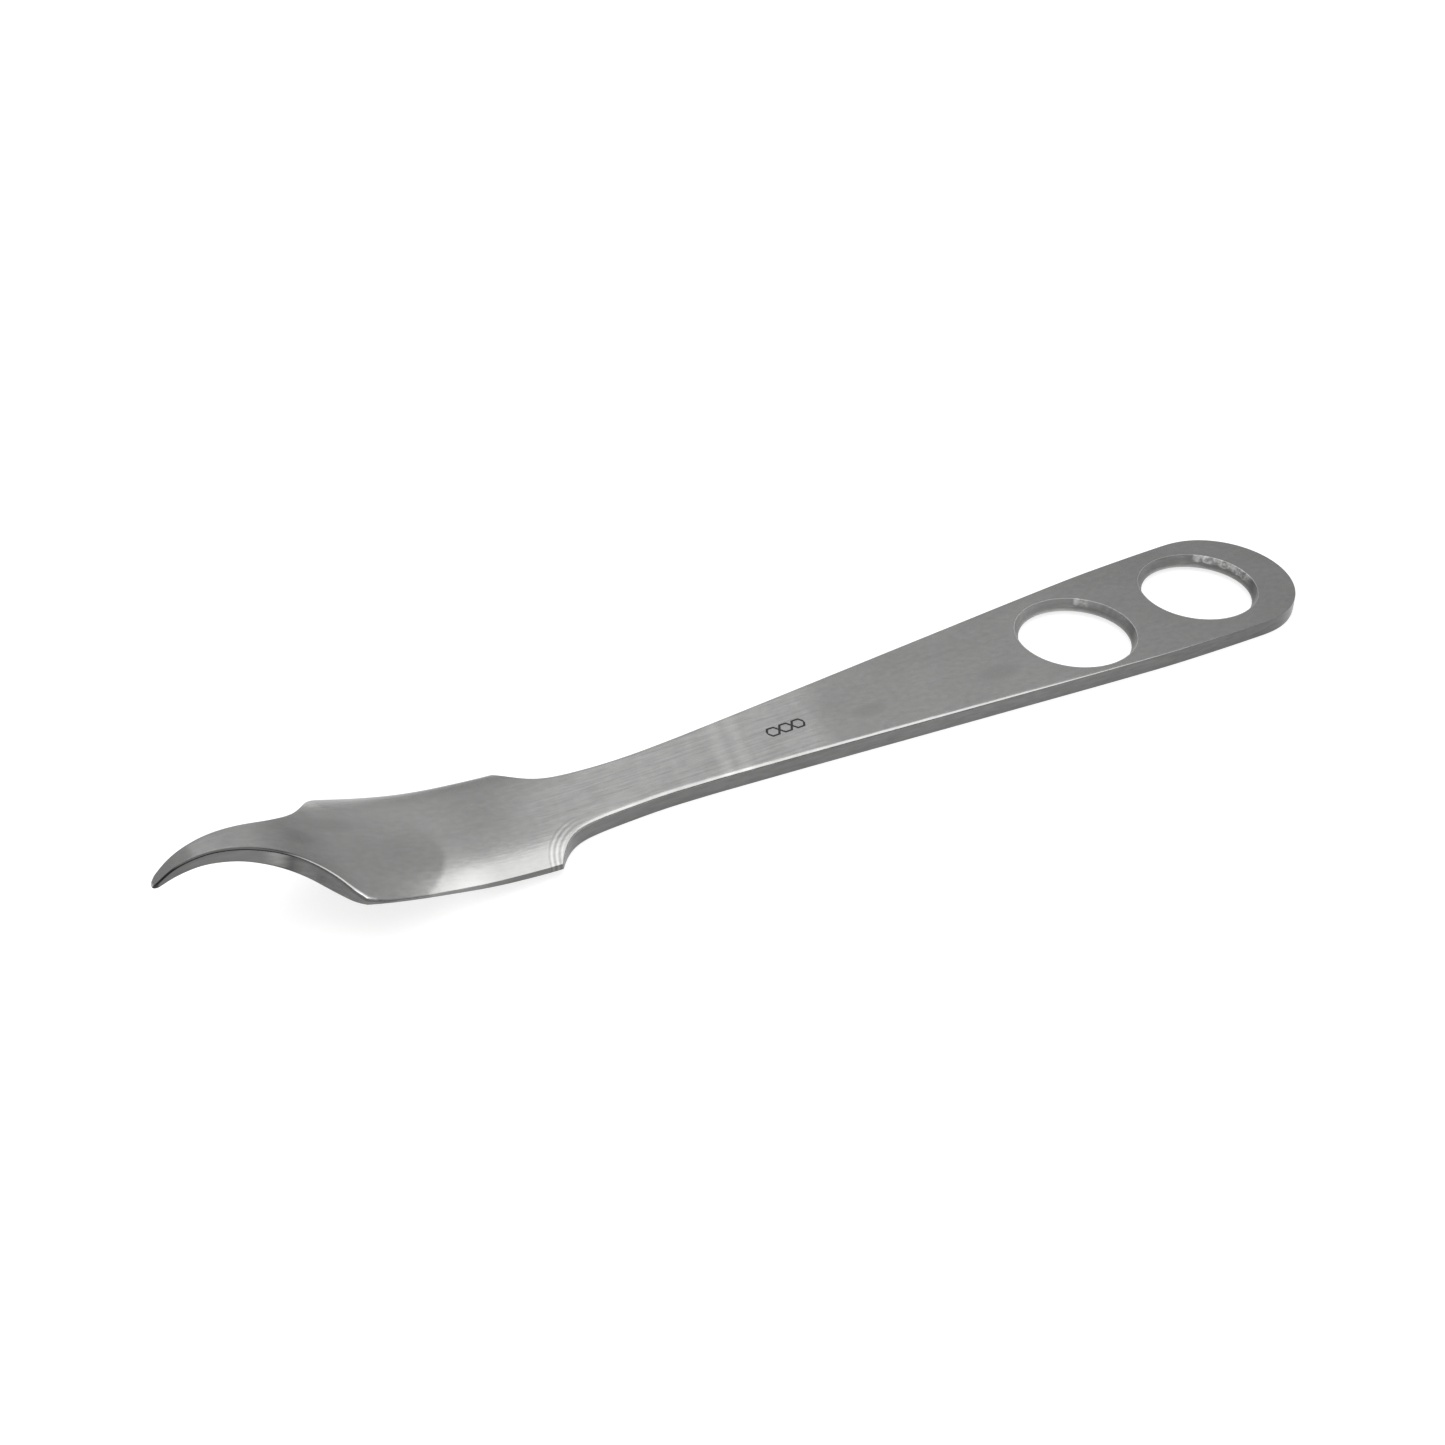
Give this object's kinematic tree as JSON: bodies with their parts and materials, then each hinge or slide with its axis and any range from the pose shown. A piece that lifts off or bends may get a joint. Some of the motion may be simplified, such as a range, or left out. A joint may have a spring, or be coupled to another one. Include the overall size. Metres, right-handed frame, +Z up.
{
  "type": "hive tool",
  "caption": "Flat one-piece steel hand lever with finger holes in a tapering handle, a narrow neck, a raised stepped blade and a curled claw.",
  "frame": {"origin": "middle of the tool's length and width, on the plane of the handle's flat underside", "axes": "+X along the tool towards the round end of the handle, the claw at -X; +Y across the handle; +Z up, away from the surface that the handle lies on"},
  "size_m": [0.2484, 0.0338, 0.0203],
  "materials": {
    "brushed_steel": "satin stainless steel, brushed along the tool, brighter on its ground edges"
  },
  "bodies": {
    "root": {"tool_body": "brushed_steel"}
  },
  "joints": []
}
